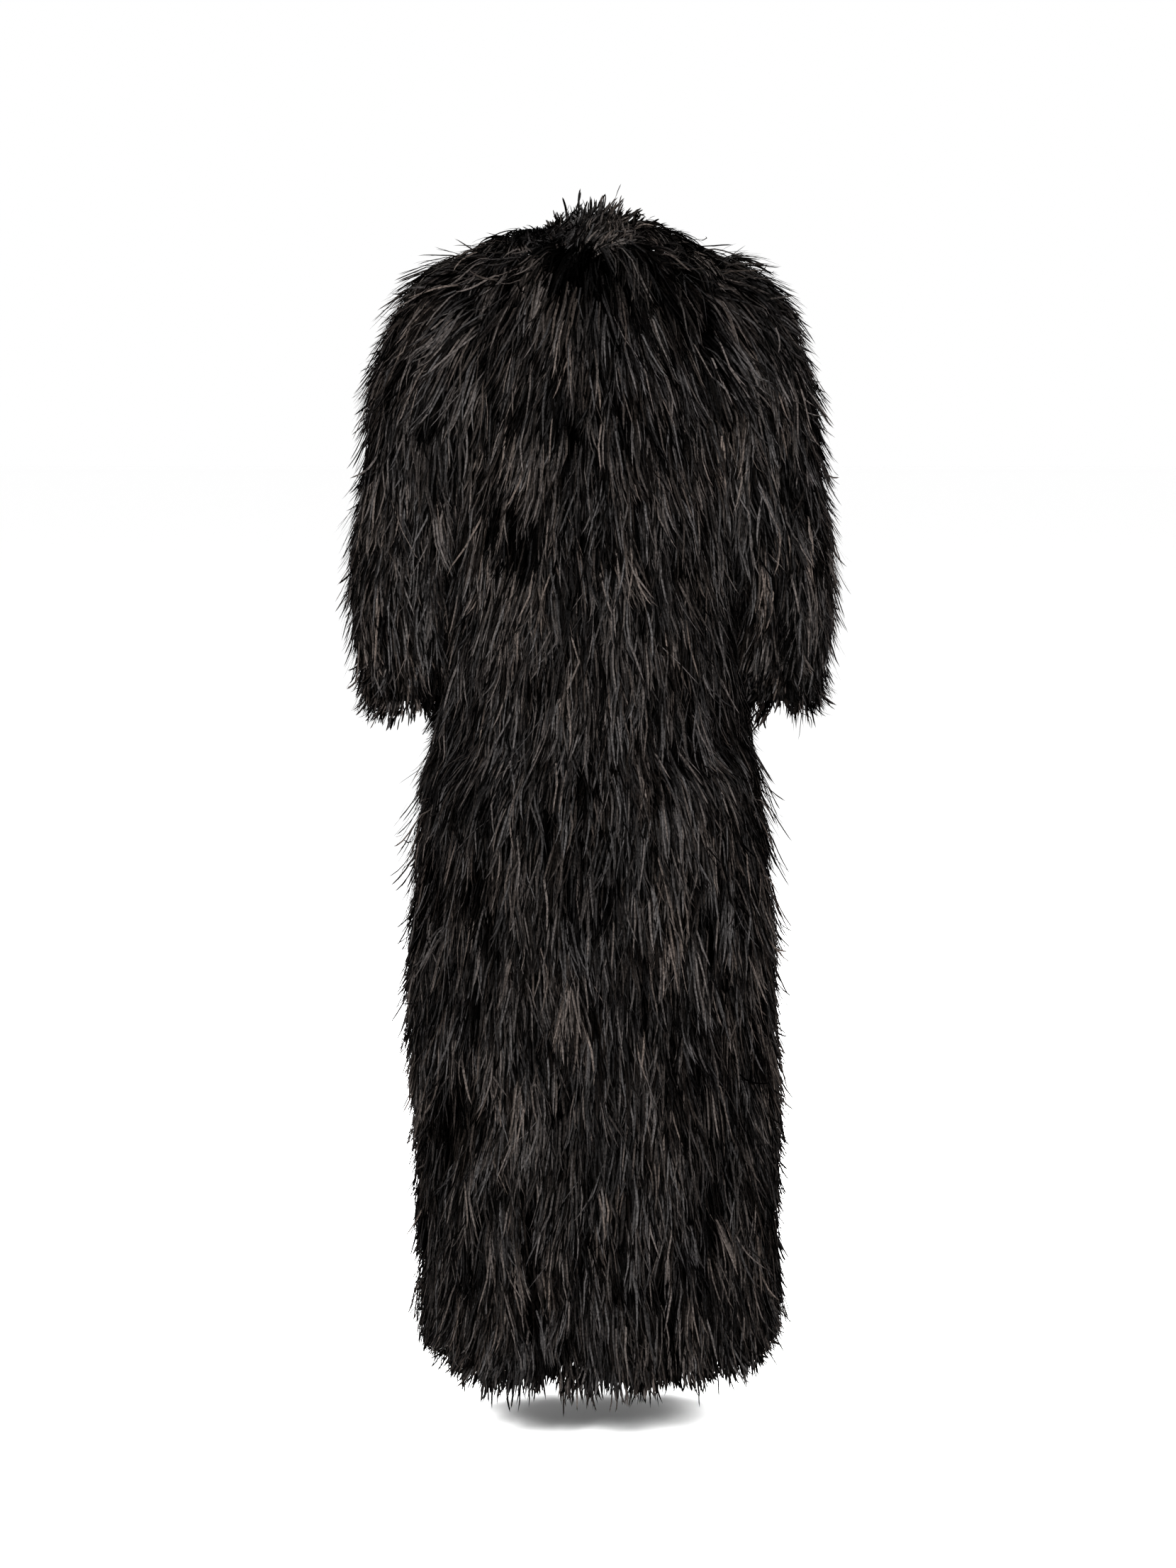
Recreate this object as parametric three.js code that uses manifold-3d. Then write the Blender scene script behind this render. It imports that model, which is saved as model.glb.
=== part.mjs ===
// A full-length feather coat, shaped as it is worn, with nobody in it.
// Millimetres, +Z up, the front towards -Y and the wearer's left side towards +X.
// The origin is on the body's axis at the height of the nape, between the shoulders that carry the coat.
// Each panel's wall runs from the inside of its cloth to the outside of the feathers sewn on it.
import * as THREE from "three";
import { mergeVertices } from "three/addons/utils/BufferGeometryUtils.js";
import Module from "manifold-3d";

const wasm = await Module();
wasm.setup();

// Driving sizes
const HEM_Z = -1475; // the cloth's lower edge, 115 above the floor under the wearer
const NECK_Z = 18; // the neck edge at the side of the neck
const CUFF_ROW = 14; // the last row of the sleeve tables
const SEAM = 0.3; // clearance between two panels at a seam
const FRONT_GAP = 2; // the fronts meet edge to edge, this far apart
const BODY_LOCKS = 25; // locks of feathers round the body in one tier
const SLEEVE_LOCKS = 12; // and round a sleeve
const TIER = 86; // height of one tier of feathers on the body
const SLEEVE_TIER = 1.3; // and on a sleeve, in rows of its tables
const FEATHER_COLOUR = 0x1d1a19;
const FAR = 2000; // past every side of the coat

// The back and each front hang in one length, and each is four solids one above another, between these
// heights, so that every solid is nearly a plain shell.
const LEVELS = {
  yoke: [-262, FAR],
  waist: [-655, -262],
  hip: [-1065, -655],
  skirt: [-FAR, -1065],
};

// A table with a name for each column, whose first column rises from row to row.
const table = (names, rows) => ({ names, rows });

// The body outside its feathers. side, back and front are distances from the body's axis.
// tiltBack and tiltFront raise a ring's back and lower its front, for each millimetre from the axis.
const BODY_COLUMNS = ["z", "side", "back", "front", "tiltBack", "tiltFront"];
const BODY_OUTSIDE = table(BODY_COLUMNS, [
  [HEM_Z, 231, 197, 188, 0, 0],
  [-1300, 236, 197, 188, 0, 0],
  [-1180, 239, 195, 187, 0, 0],
  [-1040, 241, 192, 184, 0, 0],
  [-900, 241, 190, 180, 0, 0],
  [-787, 239, 188, 176, 0, 0],
  [-735, 233, 186, 174, 0, 0],
  [-695, 218, 184, 172, 0, 0],
  [-655, 193, 181, 170, 0, 0],
  [-600, 187, 177, 166, 0, 0],
  [-520, 186, 171, 162, 0, 0],
  [-430, 182, 169, 165, 0, 0],
  [-385, 179, 171, 172, 0, 0],
  [-305, 171, 176, 182, 0, 0],
  [-240, 168, 177, 176, 0, 0],
  [-180, 169, 176, 161, 0.01, 0.02],
  [-120, 174, 166, 143, 0.02, 0.05],
  [-70, 180, 149, 123, 0.04, 0.12],
  [-35, 181, 130, 107, 0.05, 0.2],
  [-12, 172, 110, 97, 0.06, 0.3],
  [6, 136, 88, 92, 0.08, 0.45],
  [NECK_Z, 82, 72, 90, 0.08, 0.55],
]);

// The inside of the body's cloth, which lies on the wearer at the shoulders.
const BODY_INSIDE = table(BODY_COLUMNS, [
  [HEM_Z - 10, 204, 171, 162, 0, 0],
  [-1300, 209, 170, 161, 0, 0],
  [-1180, 211, 168, 160, 0, 0],
  [-1040, 214, 165, 157, 0, 0],
  [-787, 212, 161, 150, 0, 0],
  [-695, 193, 157, 146, 0, 0],
  [-655, 178, 155, 144, 0, 0],
  [-600, 174, 152, 142, 0, 0],
  [-520, 173, 147, 138, 0, 0],
  [-430, 169, 144, 140, 0, 0],
  [-305, 158, 150, 156, 0, 0],
  [-240, 154, 151, 150, 0, 0],
  [-180, 153, 149, 136, 0.01, 0.02],
  [-120, 156, 140, 116, 0.02, 0.05],
  [-80, 156, 123, 100, 0.04, 0.12],
  [-55, 145, 104, 89, 0.05, 0.2],
  [-35, 120, 86, 82, 0.06, 0.3],
  [-15, 90, 68, 78, 0.08, 0.45],
  [NECK_Z + 10, 62, 56, 74, 0.08, 0.55],
]);

// A sleeve, on the wearer's left side. Each row is a ring between a point of its outer line and one of
// its inner line, both seen from the front, and depth is half the ring's width from front to back.
const SLEEVE_COLUMNS = ["row", "outerX", "outerZ", "innerX", "innerZ", "depth"];
const SLEEVE_OUTSIDE = table(SLEEVE_COLUMNS, [
  [0, 130, -8, 125, -232, 90],
  [1, 176, -7, 150, -238, 92],
  [2, 207, -18, 158, -246, 93],
  [3, 233, -40, 164, -255, 93],
  [4, 255, -72, 169, -266, 93],
  [5, 273, -113, 173, -280, 92],
  [6, 287, -160, 177, -300, 91],
  [7, 298, -215, 180, -330, 89],
  [8, 303, -270, 183, -365, 88],
  [9, 309, -328, 186, -405, 87],
  [10, 318, -385, 189, -445, 86],
  [11, 320, -440, 191, -485, 86],
  [12, 319, -490, 191, -522, 85],
  [13, 312, -545, 193, -560, 83],
  [CUFF_ROW, 305, -598, 195, -598, 81],
]);
const SLEEVE_INSIDE = table(SLEEVE_COLUMNS, [
  [0, 120, -60, 120, -222, 64],
  [1, 172, -62, 156, -224, 64],
  [2, 196, -74, 167, -232, 64],
  [3, 216, -92, 174, -242, 64],
  [4, 235, -117, 180, -254, 63],
  [5, 250, -146, 185, -270, 62],
  [6, 262, -182, 189, -292, 61],
  [7, 271, -228, 192, -322, 60],
  [8, 277, -278, 195, -359, 58],
  [9, 283, -333, 198, -401, 57],
  [10, 291, -388, 200, -443, 56],
  [11, 294, -441, 202, -484, 56],
  [12, 293, -491, 203, -522, 55],
  [13, 287, -546, 205, -560, 54],
  [CUFF_ROW + 0.3, 280, -606, 207, -606, 53],
]);

// The skirt hangs a little to the wearer's right: how far its middle is moved at a height.
const SWAY = table(["z", "x"], [
  [HEM_Z, -12],
  [-1300, -10],
  [-1180, -8],
  [-1040, 0],
]);

// The skirt's soft flutes: how many go round, how far one stands out at the hem, and where it starts.
const FLUTES = [
  { count: 7, height: 5, start: 0.6 },
  { count: 11, height: 3, start: 2.1 },
];
const FLUTE_TOP_Z = -560; // the flutes grow from here to the hem

const TURN = 2 * Math.PI;
const ROUNDNESS = 2.3; // of the superellipses round the body and the sleeves, where 2 is an ellipse

// A smooth curve through one column of a table, which never overshoots its rows.
function column({ names, rows }, name, at) {
  const c = names.indexOf(name);
  const last = rows.length - 1;
  const found = rows.findIndex((row) => row[0] >= at);
  const i = Math.min(Math.max(found < 0 ? last : found, 1), last);
  const rise = (k) => (rows[k][c] - rows[k - 1][c]) / (rows[k][0] - rows[k - 1][0]);
  const slope = (k) => {
    if (k === 0 || k === last) return rise(Math.max(k, 1));
    const [a, b] = [rise(k), rise(k + 1)];
    return a * b <= 0 ? 0 : (2 * a * b) / (a + b);
  };
  const span = rows[i][0] - rows[i - 1][0];
  const t = Math.min(Math.max((at - rows[i - 1][0]) / span, 0), 1);
  const [t2, t3] = [t * t, t * t * t];
  return (
    rows[i - 1][c] * (2 * t3 - 3 * t2 + 1) +
    slope(i - 1) * span * (t3 - 2 * t2 + t) +
    rows[i][c] * (3 * t2 - 2 * t3) +
    slope(i) * span * (t3 - t2)
  );
}

// Cosine and sine, bent so that a ring of them is a superellipse.
const bent = (x) => Math.sign(x) * Math.abs(x) ** (2 / ROUNDNESS);

// The same number from 0 to 1 each time for one pair of whole numbers, to vary one lock from the next.
function chance(i, j) {
  const x = Math.sin(i * 127.1 + j * 311.7) * 43758.5453;
  return x - Math.floor(x);
}

// How far the skirt's flutes stand out at a height and a turn round the body.
function flute(z, turn) {
  const grown = Math.max(0, (FLUTE_TOP_Z - z) / (FLUTE_TOP_Z - HEM_Z));
  return FLUTES.reduce((sum, f) => sum + grown * f.height * Math.cos(f.count * turn + f.start), 0);
}

// A point on the body. Turn 0 is the wearer's left side and a quarter turn is the middle of the back.
function bodyPoint(sections, z, turn, out = 0) {
  const back = Math.sin(turn) >= 0;
  const more = out + flute(z, turn);
  const x = (column(sections, "side", z) + more) * bent(Math.cos(turn));
  const y = (column(sections, back ? "back" : "front", z) + more) * bent(Math.sin(turn));
  return new THREE.Vector3(x, y, z + y * column(sections, back ? "tiltBack" : "tiltFront", z));
}

// A point on the left sleeve. Turn 0 is its outer line and a quarter turn is its back.
function sleevePoint(sections, row, turn, out = 0) {
  const outer = new THREE.Vector3(column(sections, "outerX", row), 0, column(sections, "outerZ", row));
  const inner = new THREE.Vector3(column(sections, "innerX", row), 0, column(sections, "innerZ", row));
  const half = outer.clone().sub(inner).multiplyScalar(0.5);
  const reach = half.clone().setLength(half.length() + out);
  const point = inner.add(half).addScaledVector(reach, bent(Math.cos(turn)));
  point.y = (column(sections, "depth", row) + out) * bent(Math.sin(turn));
  return point;
}

// Turns round a ring. They start half a step round, so that no corner lies on a seam's plane.
const turns = (count) => Array.from({ length: count }, (_, j) => ((j + 0.5) * TURN) / count);

// The faces between rings of points, which all have as many points.
function bands(rings, closesOnItself) {
  const count = rings[0].length;
  const faces = [];
  for (let i = 0; i < (closesOnItself ? rings.length : rings.length - 1); i++) {
    const above = (i + 1) % rings.length;
    for (let j = 0; j < count; j++) {
      const next = (j + 1) % count;
      const [a, b] = [i * count + j, i * count + next];
      const [c, d] = [above * count + next, above * count + j];
      faces.push([a, b, c], [a, c, d]);
    }
  }
  return faces;
}

// The faces between a ring, whose first point has the given number, and one point beside it.
function fan(first, count, point, flipped) {
  return Array.from({ length: count }, (_, j) => {
    const edge = [first + j, first + ((j + 1) % count)];
    return flipped ? [edge[1], edge[0], point] : [...edge, point];
  });
}

// A closed geometry of points and faces, turned so that its faces look outwards.
function closed(points, faces) {
  const volume = faces.reduce((sum, [a, b, c]) => {
    return sum + points[a].dot(points[b].clone().cross(points[c]));
  }, 0);
  const index = faces.flatMap((f) => (volume < 0 ? [f[0], f[2], f[1]] : f));
  return new THREE.BufferGeometry().setFromPoints(points).setIndex(index);
}

const middle = (ring) => ring.reduce((sum, p) => sum.add(p), new THREE.Vector3()).divideScalar(ring.length);

// A closed geometry through rings. Its ends are capped, or joined if the rings close on themselves.
function skin(rings, closesOnItself = false) {
  const points = rings.flat();
  const faces = bands(rings, closesOnItself);
  if (!closesOnItself) {
    const count = rings[0].length;
    faces.push(...fan(0, count, points.length, true));
    faces.push(...fan(points.length - count, count, points.length + 1, false));
    points.push(middle(rings[0]), middle(rings.at(-1)));
  }
  return closed(points, faces);
}

// A closed geometry through rings of three points, which ends in one point.
function spike(rings, tip) {
  const points = [...rings.flat(), tip];
  const last = points.length - 1;
  return closed(points, [[2, 1, 0], ...bands(rings, false), ...fan(last - 3, 3, last, false)]);
}

// A closed geometry as a solid that can be joined and cut.
function solid(geometry) {
  const bare = geometry.clone();
  bare.deleteAttribute("normal");
  bare.deleteAttribute("uv");
  const merged = mergeVertices(bare, 1e-4);
  return new wasm.Manifold(
    new wasm.Mesh({
      numProp: 3,
      vertProperties: merged.attributes.position.array,
      triVerts: new Uint32Array(merged.index.array),
    }),
  );
}

// A solid as a named mesh.
function piece(name, made) {
  const { vertProperties, triVerts } = made.getMesh();
  const geometry = new THREE.BufferGeometry();
  geometry.setAttribute("position", new THREE.BufferAttribute(new Float32Array(vertProperties), 3));
  geometry.setIndex(new THREE.BufferAttribute(new Uint32Array(triVerts), 1));
  geometry.computeVertexNormals();
  const feathers = { color: FEATHER_COLOUR, roughness: 0.8, metalness: 0, flatShading: true };
  const mesh = new THREE.Mesh(geometry, new THREE.MeshStandardMaterial(feathers));
  mesh.name = name;
  return mesh;
}

// The box of space between two corners, to cut with.
function space(low, high) {
  const size = high.map((h, k) => h - low[k]);
  const box = new THREE.BoxGeometry(...size);
  box.translate(...high.map((h, k) => (h + low[k]) / 2));
  return solid(box);
}

// The relief of one tier: its lip stands proud and hangs lowest at each lock, and the feathers of the
// tier below come out from under it. drop is how far a lip goes up and down from lock to lock.
const RELIEF = { proud: 6, between: 1, recess: 5, step: 11, drop: 8 };

// Whether a corner of a ring is the middle of a lock. Tiers are staggered by half a lock.
const isLock = (j, tier) => (j + tier) % 2 === 0;
const lipOut = (j, tier) => (isLock(j, tier) ? RELIEF.proud : RELIEF.between) + 3 * chance(j, tier) - 1.5;
const lipDrop = (j, tier) => (isLock(j, tier) ? -1 : 1) * RELIEF.drop * (0.6 + 0.4 * chance(tier, j));

// A function for the point at one height between the body's inside, at share 0, and its outside, at 1.
const bodyEdge = (z) => (turn, share) =>
  bodyPoint(BODY_INSIDE, z, turn).lerp(bodyPoint(BODY_OUTSIDE, z, turn), share);

const SHOULDER_Z = -100; // the tiers end here, and the feathers on the shoulders lie across it
const SHOULDER_RINGS = [-62, -38, -20, -6, 6, 13, NECK_Z];

// The outside of the body, grown by a clearance, up to the neck edge.
function bodyOutside(clearance) {
  const around = turns(2 * BODY_LOCKS);
  const rings = [];
  const tiers = Math.floor((SHOULDER_Z - HEM_Z) / TIER);
  for (let tier = 0; tier <= tiers; tier++) {
    const z = HEM_Z + tier * TIER;
    const level = (j) => z + (tier > 0 ? lipDrop(j, tier) : 0);
    if (tier > 0) {
      rings.push(
        around.map((turn, j) =>
          bodyPoint(BODY_OUTSIDE, level(j) - RELIEF.step, turn, clearance - RELIEF.recess),
        ),
      );
    }
    rings.push(
      around.map((turn, j) => bodyPoint(BODY_OUTSIDE, level(j), turn, clearance + lipOut(j, tier))),
    );
  }
  SHOULDER_RINGS.forEach((z, i) => {
    const out = (j) => clearance + (isLock(j, i) ? 2 : -2);
    const raised = new THREE.Vector3(0, 0, clearance);
    rings.push(around.map((turn, j) => bodyPoint(BODY_OUTSIDE, z, turn, out(j)).add(raised)));
  });
  rings.push(around.map((turn) => bodyEdge(NECK_Z)(turn, -0.2)));
  return solid(skin(rings));
}

// The hollow of the body, open at the hem and the neck.
function bodyInside() {
  const around = turns(22);
  return solid(skin(BODY_INSIDE.rows.map(([z]) => around.map((turn) => bodyPoint(BODY_INSIDE, z, turn)))));
}

// The outside and the hollow of the left sleeve.
function sleeveOutside() {
  const around = turns(2 * SLEEVE_LOCKS);
  const rings = [0, 1, 1.7, 2.4].map((row) =>
    around.map((turn) => sleevePoint(SLEEVE_OUTSIDE, row, turn)),
  );
  const stepRows = RELIEF.step / 50; // a row is about 50 long
  const dropRows = RELIEF.drop / 50;
  const tiers = Math.floor((CUFF_ROW - 3.4) / SLEEVE_TIER);
  for (let tier = tiers; tier >= 0; tier--) {
    const row = CUFF_ROW - tier * SLEEVE_TIER;
    const at = (j) => row - (tier > 0 ? (dropRows * lipDrop(j, tier)) / RELIEF.drop : 0);
    rings.push(around.map((turn, j) => sleevePoint(SLEEVE_OUTSIDE, at(j), turn, lipOut(j, tier))));
    if (tier > 0) {
      rings.push(
        around.map((turn, j) => sleevePoint(SLEEVE_OUTSIDE, at(j) + stepRows, turn, -RELIEF.recess)),
      );
    }
  }
  return solid(skin(rings));
}
function sleeveInside() {
  const around = turns(16);
  const rows = SLEEVE_INSIDE.rows.map(([row]) => row);
  return solid(skin(rows.map((row) => around.map((turn) => sleevePoint(SLEEVE_INSIDE, row, turn)))));
}

// A lock of feathers: three sides, bent once, and a point. across is along the edge it hangs from.
function lock(root, along, across, out, { length, width, thick, bend }) {
  const section = (middle, size) => [
    middle.clone().addScaledVector(across, -0.5 * size * width),
    middle.clone().addScaledVector(across, 0.5 * size * width),
    middle.clone().addScaledVector(out, size * thick),
  ];
  const sunk = root.clone().addScaledVector(along, -3);
  const waist = root.clone().addScaledVector(along, 0.55 * length).addScaledVector(out, 0.35 * bend);
  const tip = root.clone().addScaledVector(along, length).addScaledVector(out, bend);
  return solid(spike([section(sunk, 1), section(waist, 0.8)], tip));
}

// A fringe: a narrow strip that lies SEAM off an edge, with rows of locks rooted in it.
// edge(turn, share) is a point of the panel's edge, from its inside at share 0 to its outside at 1.
// away is the direction out of the edge, and stops are the turns of the strip's corners.
function fringe({ edge, away, stops, round = false, height, rows, width }) {
  const top = height + SEAM;
  const sections = stops.map((turn) => {
    const corner = (share, off) => edge(turn, share).addScaledVector(away, off);
    return [corner(0.15, SEAM), corner(0.85, SEAM), corner(0.85, top), corner(0.15, top)];
  });
  const parts = [solid(skin(sections, round))];
  const from = stops[0];
  const span = round ? TURN : stops.at(-1) - from;
  rows.forEach(({ share, locks, longest, lean, thick }, row) => {
    for (let i = 0; i < locks; i++) {
      const turn = from + (span * (i + (row % 2 ? 0.75 : 0.25))) / locks;
      const root = edge(turn, share).addScaledVector(away, height);
      const across = edge(turn + 0.01, share).sub(edge(turn - 0.01, share)).normalize();
      const out = edge(turn, 1).sub(edge(turn, 0)).setLength(1);
      const length = longest(turn) * (0.65 + 0.35 * chance(i, row + locks));
      const bend = lean * (0.7 + 0.6 * chance(row + locks, i));
      parts.push(lock(root, away, across, out, { length, width, thick, bend }));
    }
  });
  return wasm.Manifold.union(parts);
}

const DOWN = new THREE.Vector3(0, 0, -1);
const UP = new THREE.Vector3(0, 0, 1);

// The hem's fringe between two turns round the body.
function hemFringe(from, to, locks) {
  return fringe({
    edge: (turn, share) => bodyEdge(HEM_Z)(turn, share).setZ(HEM_Z),
    away: DOWN,
    stops: Array.from({ length: locks + 1 }, (_, i) => from + ((to - from) * i) / locks),
    height: 7,
    rows: [
      { share: 0.62, locks, longest: () => 70, lean: 8, thick: 5 },
      { share: 0.3, locks, longest: () => 62, lean: 2, thick: 5 },
    ],
    width: 15,
  });
}

function cuffFringe() {
  const cuffZ = SLEEVE_OUTSIDE.rows[CUFF_ROW][2];
  const edge = (turn, share) =>
    sleevePoint(SLEEVE_INSIDE, CUFF_ROW, turn)
      .lerp(sleevePoint(SLEEVE_OUTSIDE, CUFF_ROW, turn), share)
      .setZ(cuffZ);
  return fringe({
    edge,
    away: new THREE.Vector3(0.12, 0, -1).normalize(), // the locks hang clear of the body
    stops: turns(18),
    round: true,
    height: 6,
    rows: [{ share: 0.35, locks: 18, longest: () => 56, lean: 0, thick: 4 }],
    width: 11,
  });
}

// The feathers that stand up round the neck, from one front edge round the back to the other.
// They are longest at the nape.
function collarFringe() {
  const corners = turns(2 * BODY_LOCKS).map((turn) => turn - TURN / 4);
  const longest = (turn) => 30 + 26 * Math.max(0, Math.sin(turn)) ** 3;
  return fringe({
    edge: bodyEdge(NECK_Z),
    away: UP,
    stops: corners,
    height: 6,
    rows: [
      { share: 0.6, locks: 28, longest, lean: 16, thick: 4 },
      { share: 0.3, locks: 26, longest, lean: 5, thick: 4 },
    ],
    width: 9,
  });
}

// The largest body of a solid, without slivers that a cut leaves.
const largest = (made) => made.decompose().reduce((a, b) => (a.volume() > b.volume() ? a : b));
const mirrored = (made) => made.mirror([1, 0, 0]);

// A part of the body or its hem as it hangs, moved aside below the hips.
const hung = (made) =>
  made.warp((point) => {
    point[0] += column(SWAY, "x", point[2]);
  });

// A panel's solids, from the shoulders down.
const lengths = (panel, made) =>
  Object.entries(LEVELS).map(([level, [low, high]]) => {
    const stretch = space([-FAR, -FAR, low + SEAM / 2], [FAR, FAR, high - SEAM / 2]);
    return piece(`${panel}_${level}`, hung(largest(made.intersect(stretch))));
  });

const BEHIND_SEAM = space([-FAR, SEAM / 2, -FAR], [FAR, FAR, FAR]);
const BEFORE_SEAM = space([-FAR, -FAR, -FAR], [FAR, -SEAM / 2, FAR]);

const sleeveHollow = sleeveInside();
const bodyWall = bodyOutside(0)
  .subtract(bodyInside())
  .subtract(sleeveHollow)
  .subtract(mirrored(sleeveHollow));
const back = bodyWall.intersect(BEHIND_SEAM);
const frontLeft = bodyWall.intersect(space([FRONT_GAP / 2, -FAR, -FAR], [FAR, -SEAM / 2, FAR]));
const frontRight = bodyWall.intersect(space([-FAR, -FAR, -FAR], [-FRONT_GAP / 2, -SEAM / 2, FAR]));
const bodyCleared = bodyOutside(SEAM);
const sleeveWall = sleeveOutside().subtract(sleeveHollow);
const sleeveLeft = sleeveWall.subtract(bodyCleared);
const sleeveRight = mirrored(sleeveWall).subtract(bodyCleared);
const cuff = cuffFringe();

// The hem's strips stop this far short of a side seam and of the centre front, in radians
const SIDE_STOP = 0.004;
const FRONT_STOP = 0.01;

const coat = new THREE.Group();
coat.add(
  ...lengths("back", back),
  ...lengths("front_left", frontLeft),
  ...lengths("front_right", frontRight),
  piece("sleeve_left_back", largest(sleeveLeft.intersect(BEHIND_SEAM))),
  piece("sleeve_left_front", largest(sleeveLeft.intersect(BEFORE_SEAM))),
  piece("sleeve_right_back", largest(sleeveRight.intersect(BEHIND_SEAM))),
  piece("sleeve_right_front", largest(sleeveRight.intersect(BEFORE_SEAM))),
  piece("hem_fringe_back", hung(hemFringe(SIDE_STOP, TURN / 2 - SIDE_STOP, 34))),
  piece("hem_fringe_left", hung(hemFringe(-TURN / 4 + FRONT_STOP, -SIDE_STOP, 16))),
  piece("hem_fringe_right", hung(hemFringe(TURN / 2 + SIDE_STOP, 0.75 * TURN - FRONT_STOP, 16))),
  piece("cuff_fringe_left", cuff),
  piece("cuff_fringe_right", mirrored(cuff)),
  piece("collar_fringe", collarFringe()),
);

export default coat;
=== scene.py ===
import math

import bpy
import numpy as np
from mathutils import Euler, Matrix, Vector


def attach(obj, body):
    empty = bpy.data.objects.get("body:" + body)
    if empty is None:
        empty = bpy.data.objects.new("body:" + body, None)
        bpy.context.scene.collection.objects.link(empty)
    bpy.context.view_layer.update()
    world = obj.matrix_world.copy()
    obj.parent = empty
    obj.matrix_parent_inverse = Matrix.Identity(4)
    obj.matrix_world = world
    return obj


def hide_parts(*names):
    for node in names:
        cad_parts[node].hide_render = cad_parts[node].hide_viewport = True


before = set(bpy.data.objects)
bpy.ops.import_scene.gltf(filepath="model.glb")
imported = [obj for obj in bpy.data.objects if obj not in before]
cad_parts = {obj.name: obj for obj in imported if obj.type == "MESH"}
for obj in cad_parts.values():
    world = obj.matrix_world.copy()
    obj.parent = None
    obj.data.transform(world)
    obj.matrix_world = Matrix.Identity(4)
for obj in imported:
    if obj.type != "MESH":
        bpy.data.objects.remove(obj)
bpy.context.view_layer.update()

# The camera, where the photograph was taken from
CAMERA_AT = (0.006, 5.893, -0.093)
CAMERA_PITCH = math.radians(6.03)  # down from level
LENS_MM = 100.2
SENSOR_MM = 36  # for the picture's long side
FLOOR_Z = -1.59

# The coat's sizes in millimetres, as in the part's source
HEM_Z = -1475
NECK_Z = 18
CUFF_ROW = 14
ROUNDNESS = 2.3
FLUTES = ((7, 5, 0.6), (11, 3, 2.1))  # count round the skirt, height at the hem, start
FLUTE_TOP_Z = -560
# How far the skirt hangs to one side: z, x
SWAY = np.array([(HEM_Z, -12), (-1300, -10), (-1180, -8), (-1040, 0)], float)

# Columns: z, side, back, front, tilt_back, tilt_front
BODY_OUTSIDE = np.array([
    (HEM_Z, 231, 197, 188, 0, 0),
    (-1300, 236, 197, 188, 0, 0),
    (-1180, 239, 195, 187, 0, 0),
    (-1040, 241, 192, 184, 0, 0),
    (-900, 241, 190, 180, 0, 0),
    (-787, 239, 188, 176, 0, 0),
    (-735, 233, 186, 174, 0, 0),
    (-695, 218, 184, 172, 0, 0),
    (-655, 193, 181, 170, 0, 0),
    (-600, 187, 177, 166, 0, 0),
    (-520, 186, 171, 162, 0, 0),
    (-430, 182, 169, 165, 0, 0),
    (-385, 179, 171, 172, 0, 0),
    (-305, 171, 176, 182, 0, 0),
    (-240, 168, 177, 176, 0, 0),
    (-180, 169, 176, 161, 0.01, 0.02),
    (-120, 174, 166, 143, 0.02, 0.05),
    (-70, 180, 149, 123, 0.04, 0.12),
    (-35, 181, 130, 107, 0.05, 0.2),
    (-12, 172, 110, 97, 0.06, 0.3),
    (6, 136, 88, 92, 0.08, 0.45),
    (NECK_Z, 82, 72, 90, 0.08, 0.55),
])
BODY_INSIDE = np.array([
    (HEM_Z - 10, 204, 171, 162, 0, 0),
    (-1300, 209, 170, 161, 0, 0),
    (-1180, 211, 168, 160, 0, 0),
    (-1040, 214, 165, 157, 0, 0),
    (-787, 212, 161, 150, 0, 0),
    (-695, 193, 157, 146, 0, 0),
    (-655, 178, 155, 144, 0, 0),
    (-600, 174, 152, 142, 0, 0),
    (-520, 173, 147, 138, 0, 0),
    (-430, 169, 144, 140, 0, 0),
    (-305, 158, 150, 156, 0, 0),
    (-240, 154, 151, 150, 0, 0),
    (-180, 153, 149, 136, 0.01, 0.02),
    (-120, 156, 140, 116, 0.02, 0.05),
    (-80, 156, 123, 100, 0.04, 0.12),
    (-55, 145, 104, 89, 0.05, 0.2),
    (-35, 120, 86, 82, 0.06, 0.3),
    (-15, 90, 68, 78, 0.08, 0.45),
    (NECK_Z + 10, 62, 56, 74, 0.08, 0.55),
])

# Columns: row, outer_x, outer_z, inner_x, inner_z, depth. The last row carries the tips past the cuff,
# and the first one the feathers' roots on to the shoulder.
SLEEVE_OUTSIDE = np.array([
    (-1, 84, 8, 100, -228, 88),
    (0, 130, -8, 125, -232, 90),
    (1, 176, -7, 150, -238, 92),
    (2, 207, -18, 158, -246, 93),
    (3, 233, -40, 164, -255, 93),
    (4, 255, -72, 169, -266, 93),
    (5, 273, -113, 173, -280, 92),
    (6, 287, -160, 177, -300, 91),
    (7, 298, -215, 180, -330, 89),
    (8, 303, -270, 183, -365, 88),
    (9, 309, -328, 186, -405, 87),
    (10, 318, -385, 189, -445, 86),
    (11, 320, -440, 191, -485, 86),
    (12, 319, -490, 191, -522, 85),
    (13, 312, -545, 193, -560, 83),
    (CUFF_ROW, 305, -598, 195, -598, 81),
    (CUFF_ROW + 3, 305, -757, 212, -757, 79),
])
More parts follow.
